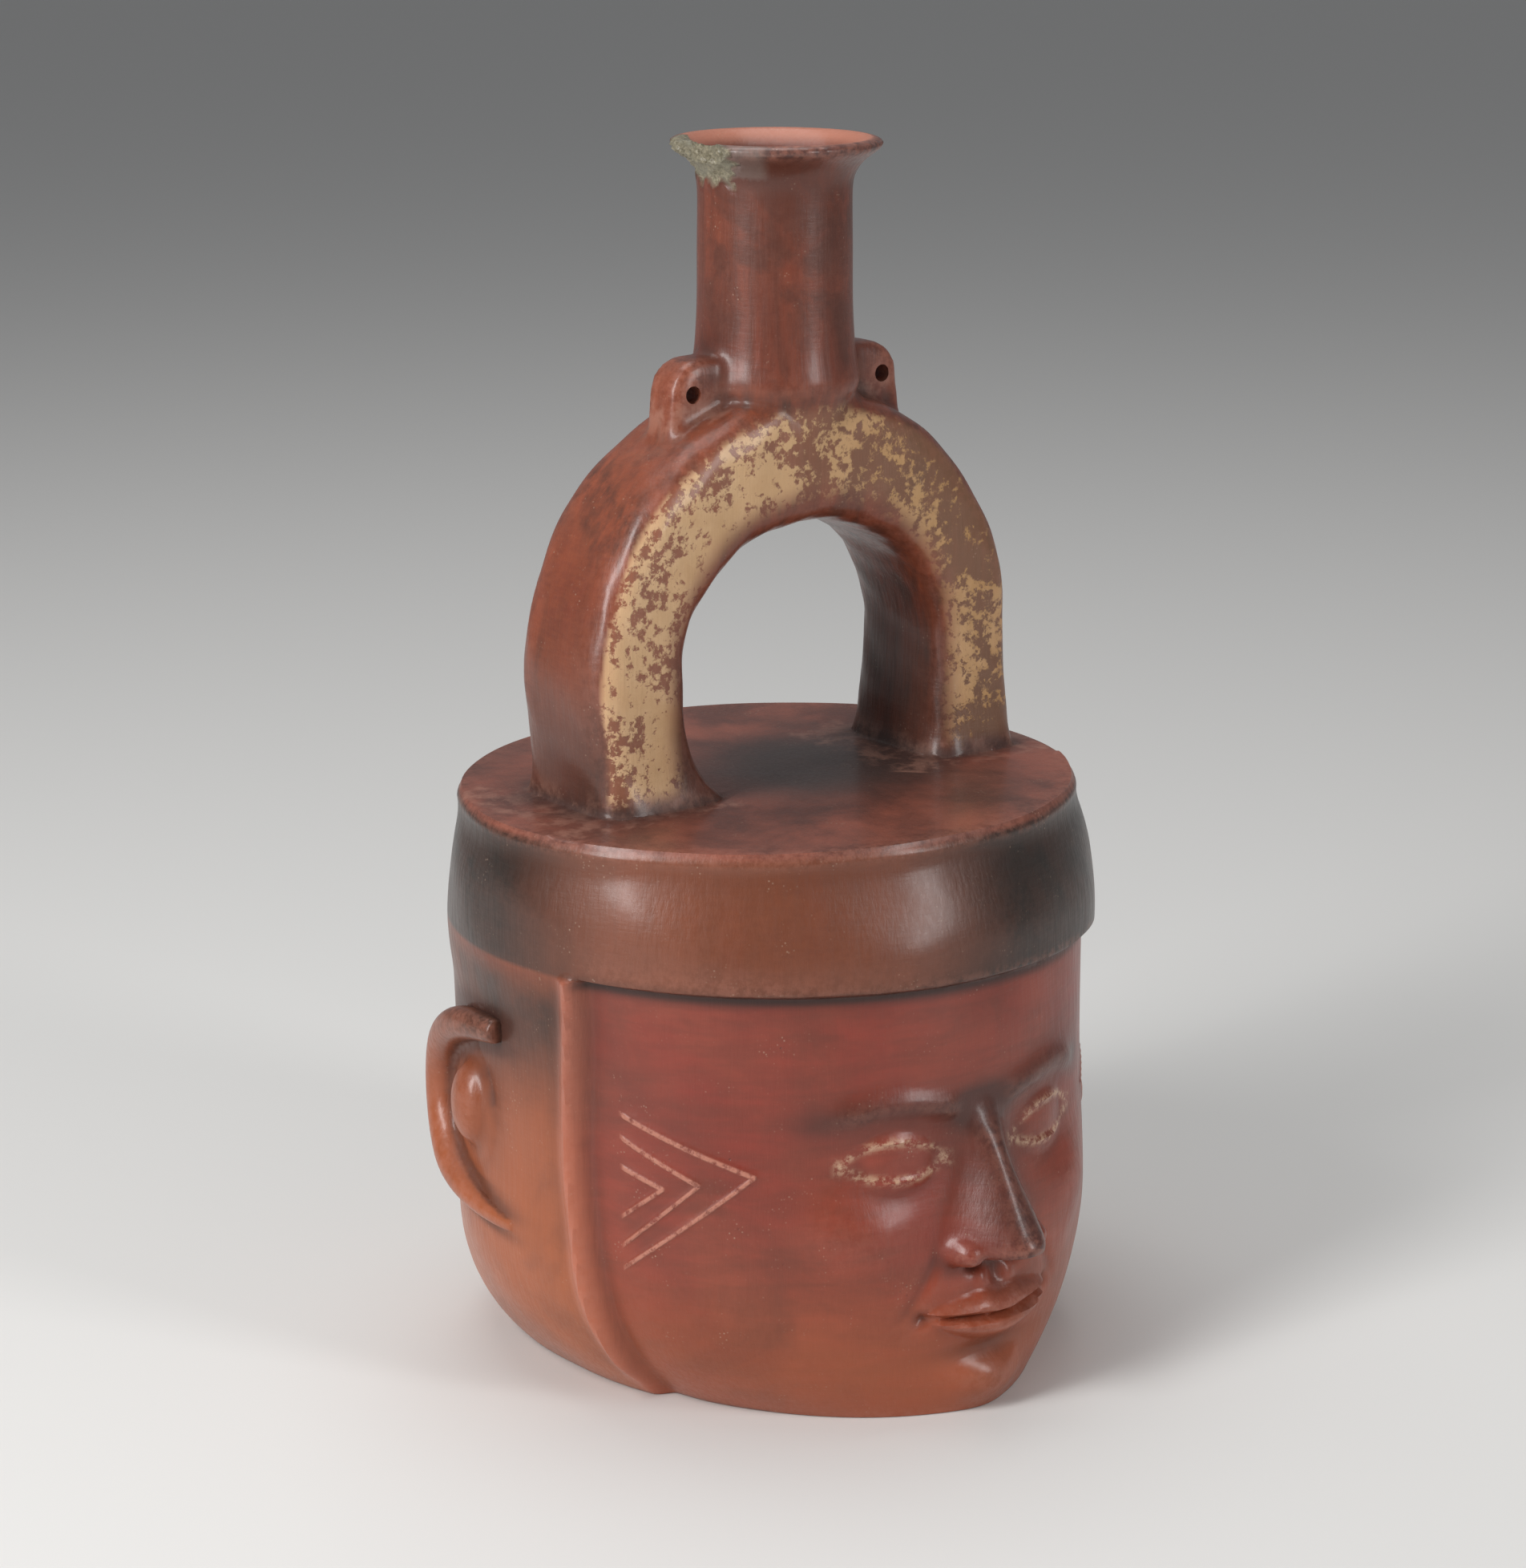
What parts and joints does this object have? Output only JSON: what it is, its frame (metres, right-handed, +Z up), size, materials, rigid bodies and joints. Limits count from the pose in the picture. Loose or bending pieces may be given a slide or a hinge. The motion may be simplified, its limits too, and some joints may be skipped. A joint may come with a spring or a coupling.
{
  "type": "stirrup spout vessel",
  "caption": "Hollow fired-clay vessel in the form of a head with a headband, its flat top carrying a stirrup handle that joins in one flared spout.",
  "frame": {"origin": "middle of the head on the flat underside that the vessel stands on", "axes": "+Z up through the spout, -Y out of the face, +X to the left ear of the head"},
  "size_m": [0.1548, 0.1615, 0.2722],
  "materials": {
    "clay": "burnished red-brown slip, satin"
  },
  "bodies": {
    "root": {"vessel": "clay"}
  },
  "joints": []
}
